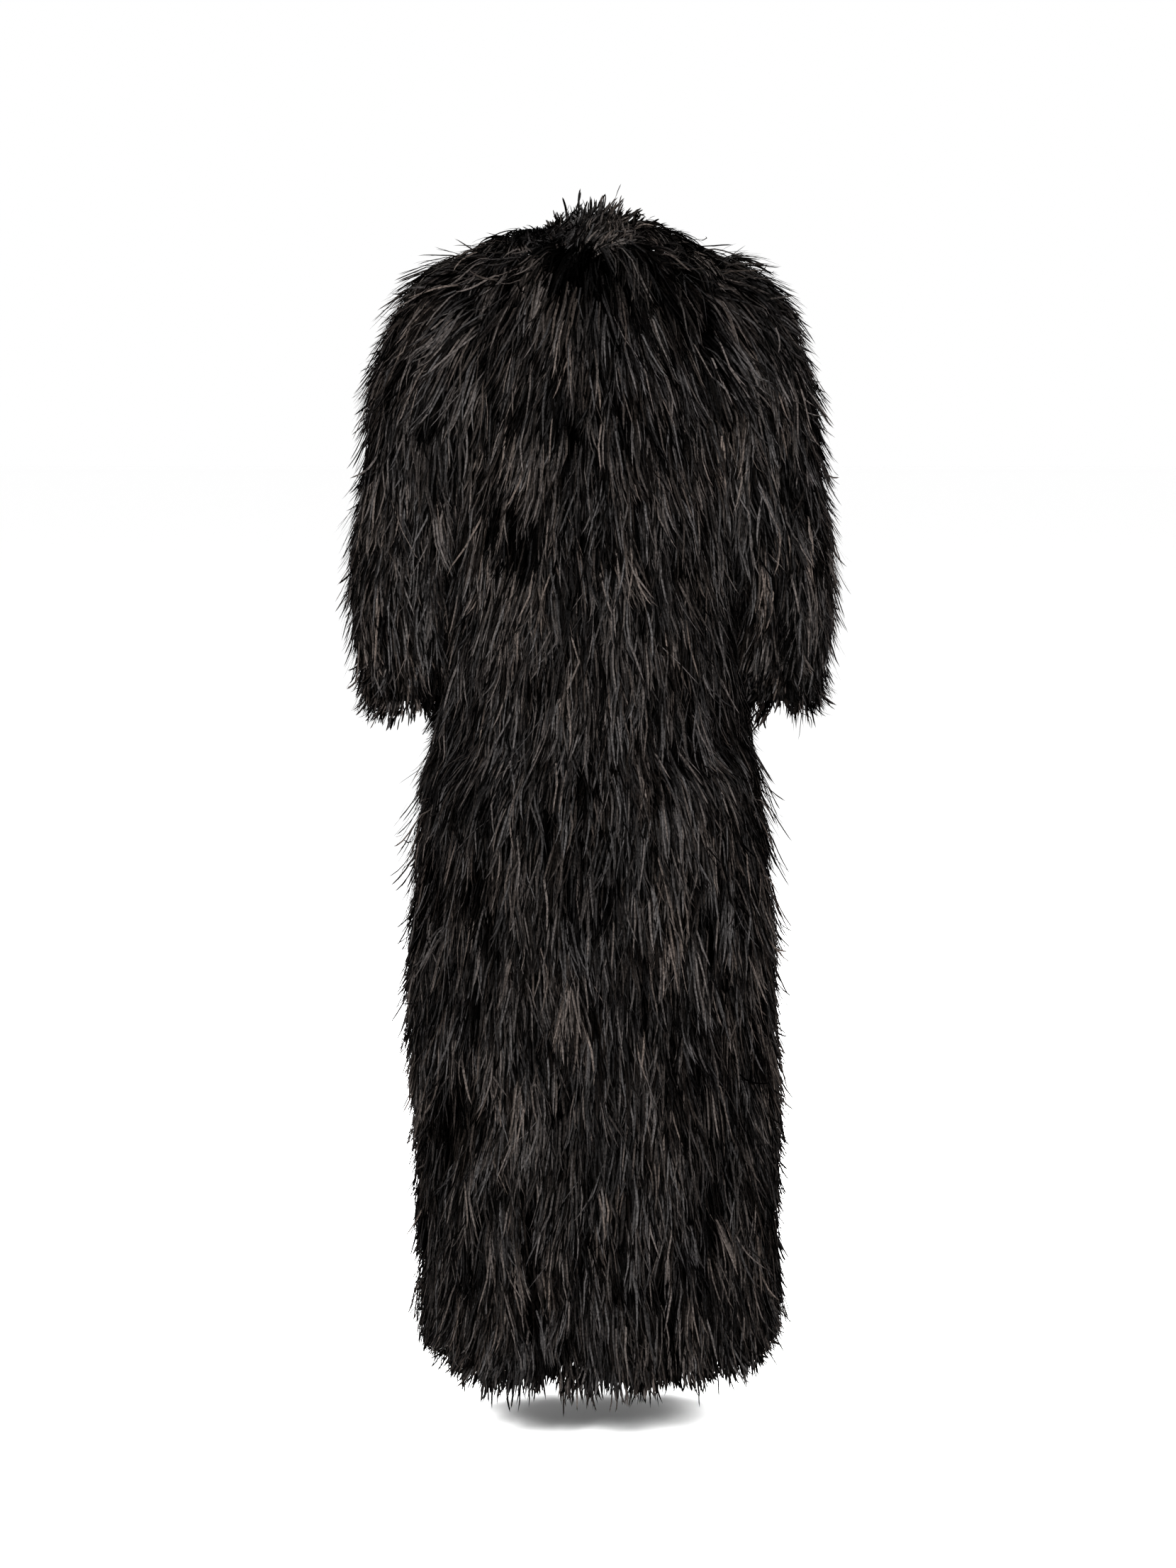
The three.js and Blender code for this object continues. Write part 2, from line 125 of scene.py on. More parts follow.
SLEEVE_INSIDE = np.array([
    (-1, 84, -60, 100, -220, 64),
    (0, 120, -60, 120, -222, 64),
    (1, 172, -62, 156, -224, 64),
    (2, 196, -74, 167, -232, 64),
    (3, 216, -92, 174, -242, 64),
    (4, 235, -117, 180, -254, 63),
    (5, 250, -146, 185, -270, 62),
    (6, 262, -182, 189, -292, 61),
    (7, 271, -228, 192, -322, 60),
    (8, 277, -278, 195, -359, 58),
    (9, 283, -333, 198, -401, 57),
    (10, 291, -388, 200, -443, 56),
    (11, 294, -441, 202, -484, 56),
    (12, 293, -491, 203, -522, 55),
    (13, 287, -546, 205, -560, 54),
    (CUFF_ROW, 281, -598, 207, -598, 53),
    (CUFF_ROW + 3, 281, -757, 222, -757, 52),
])

TURN = 2 * math.pi
QUARTER = math.pi / 2
CLOTH_THICK = 1.2  # mm
random = np.random.default_rng(20)


def column(sections, index, at):
    """A smooth curve through one column of a table, which never overshoots its rows."""
    x = sections[:, 0]
    y = sections[:, index]
    rise = np.diff(y) / np.diff(x)
    slope = np.concatenate(([rise[0]], np.zeros(len(rise) - 1), [rise[-1]]))
    same = rise[:-1] * rise[1:] > 0
    pair = rise[:-1] * rise[1:] * 2 / np.where(same, rise[:-1] + rise[1:], 1)
    slope[1:-1] = np.where(same, pair, 0)
    i = np.clip(np.searchsorted(x, at) - 1, 0, len(x) - 2)
    span = x[i + 1] - x[i]
    t = np.clip((at - x[i]) / span, 0, 1)
    return (
        y[i] * (2 * t**3 - 3 * t**2 + 1)
        + slope[i] * span * (t**3 - 2 * t**2 + t)
        + y[i + 1] * (3 * t**2 - 2 * t**3)
        + slope[i + 1] * span * (t**3 - t**2)
    )


def bent(x):
    """Cosine and sine, bent so that a ring of them is a superellipse."""
    return np.sign(x) * np.abs(x) ** (2 / ROUNDNESS)


def body_point(sections, z, turn):
    """Points on the body in metres. Turn 0 is the wearer's left, a quarter turn the back's middle."""
    grown = np.maximum(0, (FLUTE_TOP_Z - z) / (FLUTE_TOP_Z - HEM_Z)).clip(0, 1)
    flute = sum(grown * height * np.cos(count * turn + start) for count, height, start in FLUTES)
    back = np.sin(turn) >= 0
    depth = np.where(back, column(sections, 2, z), column(sections, 3, z))
    tilt = np.where(back, column(sections, 4, z), column(sections, 5, z))
    x = (column(sections, 1, z) + flute) * bent(np.cos(turn)) + column(SWAY, 1, z)
    y = (depth + flute) * bent(np.sin(turn))
    return np.stack([x, y, z + y * tilt], -1) / 1000


def sleeve_point(sections, row, turn, side):
    """Points on a sleeve in metres. side is 1 for the wearer's left one and -1 for the right one."""
    outer = np.stack([column(sections, 1, row), 0 * row, column(sections, 2, row)], -1)
    inner = np.stack([column(sections, 3, row), 0 * row, column(sections, 4, row)], -1)
    point = (outer + inner) / 2 + (outer - inner) / 2 * bent(np.cos(turn))[..., None]
    point[..., 1] = column(sections, 5, row) * bent(np.sin(turn))
    return point * (side / 1000, 0.001, 0.001)


def unit(v):
    return v / np.maximum(np.linalg.norm(v, axis=-1, keepdims=True), 1e-9)


class Form:
    """The inside and outside of the body or a sleeve. down is the sign of a step down along it, and
    handed is the sign that turns the cross product of its two directions outwards."""

    ALONG_STEP = 0.3  # to either side of a place, to find the directions there
    TURN_STEP = 0.02

    def __init__(self, inside, outside, down, handed):
        self.inside = inside
        self.outside = outside
        self.down = down
        self.handed = handed

    def directions(self, along, turn):
        """The outside's point and normal, and its metres for one step of along and of turn."""
        ahead = self.ALONG_STEP
        aside = self.TURN_STEP
        a = (self.outside(along + ahead, turn) - self.outside(along - ahead, turn)) / (2 * ahead)
        b = (self.outside(along, turn + aside) - self.outside(along, turn - aside)) / (2 * aside)
        normal = unit(np.cross(a, b)) * self.handed
        return self.outside(along, turn), normal, np.linalg.norm(a, axis=-1), np.linalg.norm(b, axis=-1)


BODY = Form(
    lambda z, turn: body_point(BODY_INSIDE, z, turn),
    lambda z, turn: body_point(BODY_OUTSIDE, z, turn),
    down=-1,
    handed=-1,
)
SLEEVES = {
    side: Form(
        lambda row, turn, side=side: sleeve_point(SLEEVE_INSIDE, row, turn, side),
        lambda row, turn, side=side: sleeve_point(SLEEVE_OUTSIDE, row, turn, side),
        down=1,
        handed=side,
    )
    for side in (1, -1)
}


def mesh_object(name, points, faces, material):
    mesh = bpy.data.meshes.new(name)
    mesh.from_pydata(points, [], faces)
    mesh.update()
    made = bpy.data.objects.new(name, mesh)
    bpy.context.collection.objects.link(made)
    mesh.materials.append(material)
    mesh.shade_smooth()
    return made


def cloth_shell(name, form, along, turn, material, keep=None):
    """The thin cloth of one panel, on the inside of its solid. It closes if turn goes all round."""
    closes = turn[-1] - turn[0] > TURN - 0.01
    grid_along, grid_turn = np.meshgrid(along, turn[:-1] if closes else turn, indexing="ij")
    inner = form.inside(grid_along, grid_turn)
    out = unit(form.outside(grid_along, grid_turn) - inner)
    outer = inner + out * CLOTH_THICK / 1000
    rows, columns = grid_along.shape
    points = np.concatenate([inner.reshape(-1, 3), outer.reshape(-1, 3)])
    number = np.arange(rows * columns).reshape(rows, columns)
    low, high = number[:-1], number[1:]
    if closes:
        quads = np.stack([low, np.roll(low, -1, 1), np.roll(high, -1, 1), high], -1).reshape(-1, 4)
    else:
        quads = np.stack([low[:, :-1], low[:, 1:], high[:, 1:], high[:, :-1]], -1).reshape(-1, 4)
    if keep is not None:
        quads = quads[keep(inner.reshape(-1, 3)[quads].mean(1))]
    edges = np.concatenate([quads[:, [k, (k + 1) % 4]] for k in range(4)])
    sorted_edges = np.sort(edges, 1)
    _, first, count = np.unique(sorted_edges, axis=0, return_index=True, return_counts=True)
    rim = edges[first[count == 1]]
    other = rows * columns
    walls = np.stack([rim[:, 1], rim[:, 0], rim[:, 0] + other, rim[:, 1] + other], -1)
    faces = np.concatenate([quads, quads[:, ::-1] + other, walls])
    made = mesh_object(name, points.tolist(), faces.tolist(), material)
    bpy.context.view_layer.objects.active = made
    made.select_set(True)
    bpy.ops.object.mode_set(mode="EDIT")
    bpy.ops.mesh.select_all(action="SELECT")
    bpy.ops.mesh.delete_loose()
    bpy.ops.mesh.normals_make_consistent(inside=False)
    bpy.ops.object.mode_set(mode="OBJECT")
    made.select_set(False)
    return made


SPREAD_LINES = 81  # each way, of the grid over which random places are spread


def spread(form, along_range, turn_range, count):
    """Random places on a form's outside, as many for each bit of its area."""
    along = np.linspace(*along_range, SPREAD_LINES)
    turn = np.linspace(*turn_range, SPREAD_LINES)
    middle_along, middle_turn = np.meshgrid(
        (along[1:] + along[:-1]) / 2, (turn[1:] + turn[:-1]) / 2, indexing="ij"
    )
    _, _, a, b = form.directions(middle_along, middle_turn)
    weight = (a * b).ravel()
    cell = random.choice(len(weight), count, p=weight / weight.sum())
    jitter = random.random((2, count)) - 0.5
    return (
        middle_along.ravel()[cell] + jitter[0] * (along[1] - along[0]),
        middle_turn.ravel()[cell] + jitter[1] * (turn[1] - turn[0]),
    )


def waves(count, shortest, longest):
    """A smooth random field from about -1 to 1 over two lengths in metres."""
    size = 2 * math.pi / random.uniform(shortest, longest, count)
    turned = random.uniform(0, TURN, count)
    start = random.uniform(0, TURN, count)

    def field(u, v):
        total = 0
        for k in range(count):
            across = u * math.cos(turned[k]) + v * math.sin(turned[k])
            total = total + np.sin(size[k] * across + start[k])
        return total * 0.9 / math.sqrt(count)

    return field


def blend_in(x, low, high):
    """0 below low and 1 above high, smoothly."""
    t = np.clip((x - low) / (high - low), 0, 1)
    return t * t * (3 - 2 * t)


class Reach:
    """How far the coat reaches from its middle plane to the back or the front, in millimetres over a
    grid of |x| and z, and how much further a taut line across the groove beside each sleeve reaches."""

    CELL = 6
    LOW = -620
    WIDE = 360
    GROOVE = (132, 226)  # the |x| between which the groove lies
    TAUT = 0.85  # of the way from the groove's floor to a taut line across it
    CLOSED = -260  # the feathers close the groove down to this height
    OPEN = -540  # and leave it open from this one

    def __init__(self, side):
        """side is 1 for the back and -1 for the front. The forms are sampled finer than the cells."""
        half = side * np.linspace(0.01, math.pi - 0.01, 241)
        z, z_turn = np.meshgrid(np.arange(self.LOW, NECK_Z, 2), half, indexing="ij")
        row, row_turn = np.meshgrid(np.arange(0.6, CUFF_ROW, 0.04), half, indexing="ij")
        arm = SLEEVES[1].outside(row, row_turn)
        points = 1000 * np.concatenate([BODY.outside(z, z_turn).reshape(-1, 3), arm.reshape(-1, 3)])
        self.size = self.WIDE // self.CELL + 1, (NECK_Z - self.LOW) // self.CELL + 2
        reach = np.zeros(self.size)
        cells = [
            np.clip(np.round(at / self.CELL).astype(int), 0, most - 1)
            for at, most in zip((np.abs(points[:, 0]), points[:, 2] - self.LOW), self.size)
        ]
        np.maximum.at(reach, tuple(cells), np.abs(points[:, 1]))
        spare = np.zeros(self.size)
        at = np.arange(self.size[0])
        beside = (at * self.CELL > self.GROOVE[0]) & (at * self.CELL < self.GROOVE[1])
        for k, line in enumerate(reach.T):
            held = at[beside & (line > 0)]
            if len(held) == 0:
                continue
            first, last, between = np.meshgrid(held, held, at, indexing="ij")
            share = (between - first) / np.maximum(last - first, 1)
            taut = line[first] + (line[last] - line[first]) * share
            taut = np.where((share >= 0) & (share <= 1), taut, 0).max((0, 1))
            spare[:, k] = self.TAUT * np.maximum(taut - line, 0)
        self.reach = self.smooth(reach)
        self.spare = self.smooth(spare)

    def smooth(self, grid):
        for axis in (0, 1):
            padded = np.pad(grid, 1, mode="edge")
            grid = (padded + np.roll(padded, 1, axis) + np.roll(padded, -1, axis))[1:-1, 1:-1] / 3
        return grid

    def sample(self, grid, x, z):
        u = np.clip(np.abs(x) / self.CELL, 0, self.size[0] - 1.001)
        v = np.clip((z - self.LOW) / self.CELL, 0, self.size[1] - 1.001)
        i, j = u.astype(int), v.astype(int)
        u, v = u - i, v - j
        return (
            grid[i, j] * (1 - u) * (1 - v)
            + grid[i + 1, j] * u * (1 - v)
            + grid[i, j + 1] * (1 - u) * v
            + grid[i + 1, j + 1] * u * v
        )

    def over(self, x, z):
        """The reach of the feathers that lie across the groove."""
        closed = blend_in(z, self.OPEN, self.CLOSED)
        return self.sample(self.reach, x, z) + closed * self.sample(self.spare, x, z)


REACHES = {side: Reach(side) for side in (1, -1)}
ASIDE = 100  # mm from the middle plane for one step across a mantle
MANTLE_WALL = 30  # mm


def mantle_form(back, left):
    """The form over the groove beside one sleeve. back and left are 1, or -1 for front and right."""

    def outside(z, steps, under=0):
        x = steps * ASIDE
        y = REACHES[back].over(x, z) - under
        return np.stack([left * x, back * y, z], -1) / 1000

    return Form(
        lambda z, steps: outside(z, steps, MANTLE_WALL), outside, down=-1, handed=back * left,
    )


NAPE_LEAN = 0.6  # of the collar's feathers at the nape, towards the wearer's right
NAPE_TURN = 0.08  # how far to the right of the middle they rise highest
NAPE_NARROW = 12  # the power that gathers them at the nape
COLLAR_Z = NECK_Z - 6  # mm, where the collar's feathers are sewn on
# The angle from straight up at which they start beside the neck
START = 1.3
RAISED_AT_NAPE = 1.35  # and how much less it is at the nape
LOWERED_IN_FRONT = 0.5  # and more in front
# How far they bend outwards over each millimetre there
BEND = 0.024
STRAIGHTER_AT_NAPE = 0.02  # and how much less they do at the nape


def nape(turn):
    """1 at the nape and 0 from the sides of the neck to the front."""
    return np.maximum(np.sin(turn - NAPE_TURN), 0) ** NAPE_NARROW


def ruff_point(s, turn):
    """Points s millimetres up the collar's feathers, which arch outwards, but at the nape stand up and
    in front lie on the chest."""
    at_nape = nape(turn)
    start = START - RAISED_AT_NAPE * at_nape + LOWERED_IN_FRONT * np.maximum(-np.sin(turn), 0)
    bend = BEND - STRAIGHTER_AT_NAPE * at_nape
    out = (np.cos(start) - np.cos(start + bend * s)) / bend
    up = (np.sin(start + bend * s) - np.sin(start)) / bend
    away = np.stack([np.cos(turn) * out, np.sin(turn) * out, up], -1)
    return BODY.outside(0 * s + COLLAR_Z, turn) + away / 1000


RUFF = Form(ruff_point, ruff_point, down=1, handed=-1)


WAVE = 0.12  # how far a frond waves to either side
WAVES = 6  # how fast it does so, over its whole length
CURL_FROM = 0.35  # the share of its length at which its curl doesn't turn it
THROUGH_WALL = 0.92  # the share of the wall that a frond from the cloth comes through
SHALLOWEST_ROOT, DEEPEST_ROOT = 0.004, 0.036  # the least and the most of it, in metres


def lay_fronds(form, along, turn, rows, *, heading, curl, length, lie, flick, lift, bow, root, proud):
    """Walks each frond over the form from its root. Returns its rows of points and outward normals.
    rows are the shares of its length at which it has points. heading is the angle from straight down,
    lie how far under the outside it lies, and flick how far its tip stands away, over a curve of power
    bow. root is how far under the outside it starts, or None for the whole wall, and lift the share of
    its length in which it comes up. proud gives how much less deep it lies at a place."""
    start = random.uniform(0, TURN, len(along))
    point, normal, _, _ = form.directions(along, turn)
    wall = np.einsum("ij,ij->i", point - form.inside(along, turn), normal)
    deep = root
    if root is None:
        deep = np.clip(wall * THROUGH_WALL, SHALLOWEST_ROOT, DEEPEST_ROOT)
    points = []
    normals = []
    for k, t in enumerate(rows):
        point, normal, per_along, per_turn = form.directions(along, turn)
        under = lie + (deep - lie) * (1 - blend_in(t, 0, lift)) - flick * t**bow
        if proud is not None:
            under = under - blend_in(t, 0, lift) * proud(along, turn) / 1000
        points.append(point - normal * under[:, None])
        normals.append(normal)
        if k + 1 < len(rows):
            step = (rows[k + 1] - t) * length
            middle = (t + rows[k + 1]) / 2
            angle = heading + curl * (middle - CURL_FROM) + WAVE * np.sin(WAVES * middle + start)
            along = along + form.down * np.cos(angle) * step / per_along
            turn = turn + np.sin(angle) * step / per_turn
    return np.stack(points, 1), np.stack(normals, 1)


# A frond's width at shares of its length, against its widest
WIDTH_AT = (0, 0.25, 0.5, 0.85, 1)
WIDTHS = (0.5, 0.9, 1, 0.8, 0.4)
TWISTED = 0.4  # how far fronds are turned about themselves, as a whole
TWISTING = 0.5  # and from root to tip
CELL_LEFT, CELL_RIGHT = 0.08, 0.92  # where a frond lies in its own cell of the UV map
CELL_ROOT, CELL_TIP = 0.06, 0.94


def frond_mesh(name, stretches, material):
    """One mesh of flat fronds. Each stretch is (rows, points, normals, width, tone, warm), with a line
    of points and normals for each frond."""
    vertices, loops, sizes, uvs, shades = [], [], [], [], []
    base = 0
    total = sum(len(points) for _, points, *_ in stretches)
    cells = math.ceil(math.sqrt(total))
    placed = 0
    for rows, points, normals, width, tone, warm in stretches:
        count, steps = len(points), len(rows) - 1
        ahead = unit(np.gradient(points, axis=1))
        across = unit(np.cross(normals, ahead))
        raised = np.cross(ahead, across)
        twist = random.normal(0, TWISTED, (count, 1))
        twist = twist + random.normal(0, TWISTING, (count, 1)) * (rows - 0.5)
        side = across * np.cos(twist)[..., None] + raised * np.sin(twist)[..., None]
        half = side[:, :-1] * (np.interp(rows[:-1], WIDTH_AT, WIDTHS) * width[:, None] / 2)[..., None]
        pairs = np.stack([points[:, :-1] - half, points[:, :-1] + half], 2).reshape(count, -1, 3)
        per = 2 * steps + 1
        quads = np.array([(2 * k, 2 * k + 1, 2 * k + 3, 2 * k + 2) for k in range(steps - 1)])
        corners = np.concatenate([quads.ravel(), [per - 3, per - 2, per - 1]])
        local_loops = (np.arange(count)[:, None] * per + corners).ravel()
        row = np.repeat(rows[:-1], 2)
        up = CELL_ROOT + (CELL_TIP - CELL_ROOT) * row
        local = np.stack([np.tile([CELL_LEFT, CELL_RIGHT], steps), up], -1)
        local = np.concatenate([local, [[0.5, CELL_TIP]]])
        number = placed + np.arange(count)
        cell = np.stack([number % cells, number // cells], -1)
        shade = np.ones((count, per, 4), np.float32)
        # The red channel: each frond's random tone, with the painted shade of gaps, upward faces and
        # depth in it
        shade[..., 0] = tone[:, None]
        shade[..., 1] = np.concatenate([row, [1]])
        shade[..., 2] = warm[:, None]
        vertices.append(np.concatenate([pairs, points[:, -1:]], 1).reshape(-1, 3))
        uvs.append(((cell[:, None] + local) / cells).reshape(-1, 2)[local_loops])
        loops.append(local_loops + base)
        sizes.append(np.tile([4] * (steps - 1) + [3], count))
        shades.append(shade.reshape(-1, 4))
        base += count * per
        placed += count
    vertices, loops, sizes, uvs, shades = map(np.concatenate, (vertices, loops, sizes, uvs, shades))

    mesh = bpy.data.meshes.new(name)
    mesh.vertices.add(len(vertices))
    mesh.vertices.foreach_set("co", vertices.astype(np.float32).ravel())
    mesh.loops.add(len(loops))
    mesh.loops.foreach_set("vertex_index", loops.astype(np.int32))
    mesh.polygons.add(len(sizes))
    starts = np.concatenate([[0], np.cumsum(sizes)[:-1]])
    mesh.polygons.foreach_set("loop_start", starts.astype(np.int32))
    mesh.update(calc_edges=True)
    layer = mesh.uv_layers.new(name="OFBake")
    layer.data.foreach_set("uv", uvs.astype(np.float32).ravel())
    colour = mesh.color_attributes.new("frond", "FLOAT_COLOR", "POINT")
    colour.data.foreach_set("color", shades.astype(np.float32).ravel())
    mesh.materials.append(material)
    mesh.shade_smooth()
    made = bpy.data.objects.new(name, mesh)
    bpy.context.collection.objects.link(made)
    return made


# Looks

COOL_FROND = (0.0158, 0.0149, 0.0148, 1)
WARM_FROND = (0.0247, 0.02, 0.0174, 1)
NET_DARK = (0.002, 0.002, 0.002, 1)
NET_LIGHT = (0.0035, 0.0032, 0.0032, 1)
FLOOR_COLOUR = (0.99, 0.99, 0.99, 1)


def new_material(name):
    made = bpy.data.materials.new(name)
    made.use_nodes = True
    nodes = made.node_tree.nodes
    return made, nodes, made.node_tree.links, nodes["Principled BSDF"]


def feather_material():
    """Dyed ostrich, cool or brownish along the frond, with fine barbs, and painted shade that makes it
    near black at the roots.
    """
    made, nodes, links, shader = new_material("dyed_feather")
    frond = nodes.new("ShaderNodeAttribute")
    frond.attribute_name = "frond"
    split = nodes.new("ShaderNodeSeparateColor")
    links.new(frond.outputs["Color"], split.inputs["Color"])

    hue = nodes.new("ShaderNodeMix")
    hue.data_type = "RGBA"
    hue.inputs["A"].default_value = COOL_FROND
    hue.inputs["B"].default_value = WARM_FROND
    links.new(split.outputs["Blue"], hue.inputs["Factor"])

    place = nodes.new("ShaderNodeTexCoord")
    mottle = nodes.new("ShaderNodeTexNoise")
    mottle.inputs["Scale"].default_value = 330
    mottle.inputs["Detail"].default_value = 4
    links.new(place.outputs["Object"], mottle.inputs["Vector"])
    uneven = nodes.new("ShaderNodeMapRange")
    uneven.inputs["From Min"].default_value = 0.3
    uneven.inputs["From Max"].default_value = 0.7
    uneven.inputs["To Min"].default_value = 0.35
    uneven.inputs["To Max"].default_value = 1.65
    links.new(mottle.outputs["Fac"], uneven.inputs["Value"])

    # Painted shade: each frond is made darker towards its root, down to a tenth at the root itself
    root = nodes.new("ShaderNodeMapRange")
    root.inputs["From Max"].default_value = 0.34
    root.inputs["To Min"].default_value = 0.1
    links.new(split.outputs["Green"], root.inputs["Value"])

    shade = nodes.new("ShaderNodeMath")
    shade.operation = "MULTIPLY"
    links.new(split.outputs["Red"], shade.inputs[0])
    links.new(uneven.outputs["Result"], shade.inputs[1])
    tone_with_painted_root_shade = nodes.new("ShaderNodeMath")
    tone_with_painted_root_shade.operation = "MULTIPLY"
    links.new(shade.outputs["Value"], tone_with_painted_root_shade.inputs[0])
    links.new(root.outputs["Result"], tone_with_painted_root_shade.inputs[1])
    colour = nodes.new("ShaderNodeVectorMath")
    colour.operation = "SCALE"
    links.new(hue.outputs["Result"], colour.inputs[0])
    links.new(tone_with_painted_root_shade.outputs["Value"], colour.inputs["Scale"])
    links.new(colour.outputs["Vector"], shader.inputs["Base Color"])

    barbs = nodes.new("ShaderNodeTexNoise")
    barbs.inputs["Scale"].default_value = 1400
    barbs.inputs["Detail"].default_value = 2
    links.new(place.outputs["Object"], barbs.inputs["Vector"])
    bump = nodes.new("ShaderNodeBump")
    bump.inputs["Strength"].default_value = 0.5
    bump.inputs["Distance"].default_value = 0.0006
    links.new(barbs.outputs["Fac"], bump.inputs["Height"])
    links.new(bump.outputs["Normal"], shader.inputs["Normal"])
    rough = nodes.new("ShaderNodeMapRange")
    rough.inputs["To Min"].default_value = 0.42
    rough.inputs["To Max"].default_value = 0.72
    links.new(mottle.outputs["Fac"], rough.inputs["Value"])
    links.new(rough.outputs["Result"], shader.inputs["Roughness"])
    shader.inputs["Specular IOR Level"].default_value = 0
    return made


def net_material():
    """Black net: a fine square mesh of threads over darkness, a little uneven."""
    made, nodes, links, shader = new_material("black_net")
    place = nodes.new("ShaderNodeTexCoord")
    threads = []
    for direction in ("X", "Z"):
        wave = nodes.new("ShaderNodeTexWave")
        wave.wave_type = "BANDS"
        wave.bands_direction = direction
        wave.inputs["Scale"].default_value = 160
        wave.inputs["Distortion"].default_value = 0.8
        wave.inputs["Detail Scale"].default_value = 40
        links.new(place.outputs["Object"], wave.inputs["Vector"])
        threads.append(wave)
    net = nodes.new("ShaderNodeMath")
    net.operation = "MAXIMUM"
    links.new(threads[0].outputs["Fac"], net.inputs[0])
    links.new(threads[1].outputs["Fac"], net.inputs[1])
    colour = nodes.new("ShaderNodeMix")
    colour.data_type = "RGBA"
    colour.inputs["A"].default_value = NET_DARK
    colour.inputs["B"].default_value = NET_LIGHT
    links.new(net.outputs["Value"], colour.inputs["Factor"])
    links.new(colour.outputs["Result"], shader.inputs["Base Color"])
    bump = nodes.new("ShaderNodeBump")
    bump.inputs["Strength"].default_value = 0.4
    bump.inputs["Distance"].default_value = 0.0004
    links.new(net.outputs["Value"], bump.inputs["Height"])
    links.new(bump.outputs["Normal"], shader.inputs["Normal"])
    shader.inputs["Roughness"].default_value = 0.7
    shader.inputs["Specular IOR Level"].default_value = 0
    return made


def floor_material():
    made, _, _, shader = new_material("pale_floor")
    shader.inputs["Base Color"].default_value = FLOOR_COLOUR
    shader.inputs["Roughness"].default_value = 0.9
    return made


# Studio

# Each softbox: place, width, watts
SOFTBOXES = (
    ((2.2, 3.8, 1.3), 1.4, 700),
    ((-2.9, 3.0, 1.2), 1.4, 480),
    ((0.4, -3.6, 2.2), 1.8, 640),
)
SOFTBOX_AIM = (0, 0, -0.6)
FLOOR_HALF = 40  # metres


def studio():
    camera = bpy.data.objects.new("camera", bpy.data.cameras.new("camera"))
    camera.data.lens = LENS_MM
    camera.data.sensor_width = SENSOR_MM
    camera.location = CAMERA_AT
    camera.rotation_euler = Euler((math.pi / 2 - CAMERA_PITCH, 0, math.pi))
    bpy.context.collection.objects.link(camera)
    bpy.context.scene.camera = camera

    world = bpy.data.worlds.new("white_room")
    world.use_nodes = True
    background = world.node_tree.nodes["Background"]
    background.inputs["Color"].default_value = (1, 1, 1, 1)
    background.inputs["Strength"].default_value = 1.0
    bpy.context.scene.world = world
    bpy.context.scene.view_settings.view_transform = "Standard"

    for place, width, watts in SOFTBOXES:
        light = bpy.data.objects.new("softbox", bpy.data.lights.new("softbox", "AREA"))
        light.data.size = width
        light.data.energy = watts
        light.location = place
        light.rotation_euler = (Vector(SOFTBOX_AIM) - Vector(place)).to_track_quat("-Z", "Y").to_euler()
        bpy.context.collection.objects.link(light)

    half = FLOOR_HALF
    corners = [(x, y, FLOOR_Z) for x, y in ((-half, -half), (half, -half), (half, half), (-half, half))]
    mesh_object("floor", corners, [(0, 1, 2, 3)], floor_material())


# Feathers

TUFT = (10, 20)  # fewest and most fronds in one tuft, from one knot
TUFT_SPREAD = (0.0075, 0.008)  # of the roots across and along, in metres
WIDTH = (2.0, 3.4)  # mm
WIRY_SHARE = 0.07  # of the fronds are thin, and stray further from their tuft
WIRY_WIDTH = 1.1  # mm
LOOSE_SHARE = 0.1  # of the fronds' tips stand well away
LOOSE_FLICK = (5, 16)  # mm, how much further they do
LEAST_FLICK = -6  # mm
SHORTEST = 24  # mm
RAGGED = 26  # mm that tufts end short of their lowest line, at most
LUMPY = 16  # mm that this line goes up and down from lock to lock
DEEPEST = 18  # mm under the outside
PROUDEST = -5  # mm under it, so this one is above it
BRIGHTEST = 1.15  # the lightest tone
DARK_SHARE = 0.3  # of the fronds are nearly black
DARK_TONE = 0.08  # against what they would be
# How far tones vary, as powers of e: over broad patches, from tuft to tuft and from frond to frond
PATCH_TONE = 0.2
TUFT_TONE = 0.22
FROND_TONE = 0.5
GAP_PAINTED_SHADE = 0.85  # painted shade: how much darker the tufts in the gaps between the locks are made
WARM = 0.3  # the usual share of the warm colour
WARM_VARIES = 0.25  # over patches, and again from tuft to tuft
WARM_ASTRAY = 0.2  # from frond to frond
# How far the fronds of a tuft head apart: fanned out from its middle, each one, and the wiry ones
FAN = (-0.04, 0.04)  # middle and spread
ASTRAY = 0.07
WIRY_ASTRAY = 0.25
SHORTER, LONGER = 0.8, 1.07  # a frond's length against its tuft's
TOP_PAINTED_SHADE = 0.3  # painted shade: how much darker the feathers are made where they lie on top of the shoulders, facing up
DEPTH_PAINTED_SHADE = 3.6  # painted shade: how fast a frond's tone falls off the deeper it lies, down to the deepest
PLAIN_ROWS = np.array([0, 0.32, 0.62, 0.88, 1])
CURVED_ROWS = np.array([0, 0.16, 0.32, 0.48, 0.64, 0.8, 0.92, 1])
feather = feather_material()


